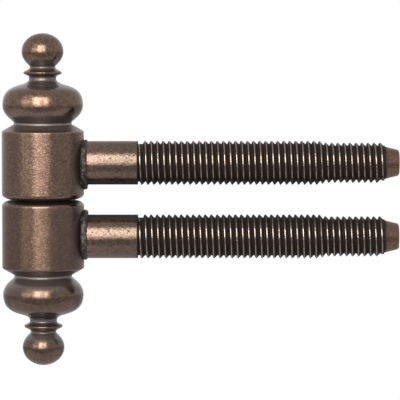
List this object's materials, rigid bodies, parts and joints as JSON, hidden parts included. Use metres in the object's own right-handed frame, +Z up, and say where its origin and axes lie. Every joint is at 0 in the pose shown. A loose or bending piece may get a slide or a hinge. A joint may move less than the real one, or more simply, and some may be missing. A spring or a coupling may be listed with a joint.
{
  "type": "door hinge",
  "caption": "Lift-off screw-in door hinge with turned barrel knuckles, onion-and-ball finials and long threaded shanks that screw into the frame and the door.",
  "frame": {"origin": "on the hinge axis, halfway through the thrust washer between the knuckles", "axes": "+Z up along the hinge axis towards the door leaf's finial, +X out along both shanks towards their tips, +Y across the barrel"},
  "size_m": [0.0678, 0.014, 0.0568],
  "materials": {
    "antique_bronze": "satin",
    "shank_bronze": "satin",
    "weld_scale": "satin",
    "pin_steel": "satin",
    "washer_brass": "satin"
  },
  "bodies": {
    "frame_leaf": {"lower_knuckle": "antique_bronze", "lower_finial": "antique_bronze", "lower_shank": "shank_bronze", "lower_weld_collar": "weld_scale", "hinge_pin": "pin_steel"},
    "washer": {"thrust_washer": "washer_brass"},
    "door_leaf": {"upper_knuckle": "antique_bronze", "upper_finial": "antique_bronze", "upper_shank": "shank_bronze", "upper_weld_collar": "weld_scale"}
  },
  "joints": [
    {"name": "door_swing", "type": "hinge", "parent": "frame_leaf", "child": "washer", "pos_m": [0, 0, 0], "axis": [0, 0, 1], "continuous": true},
    {"name": "lift_off", "type": "slide", "parent": "washer", "child": "door_leaf", "axis": [0, 0, 1], "range_m": [0, 0.01]}
  ]
}
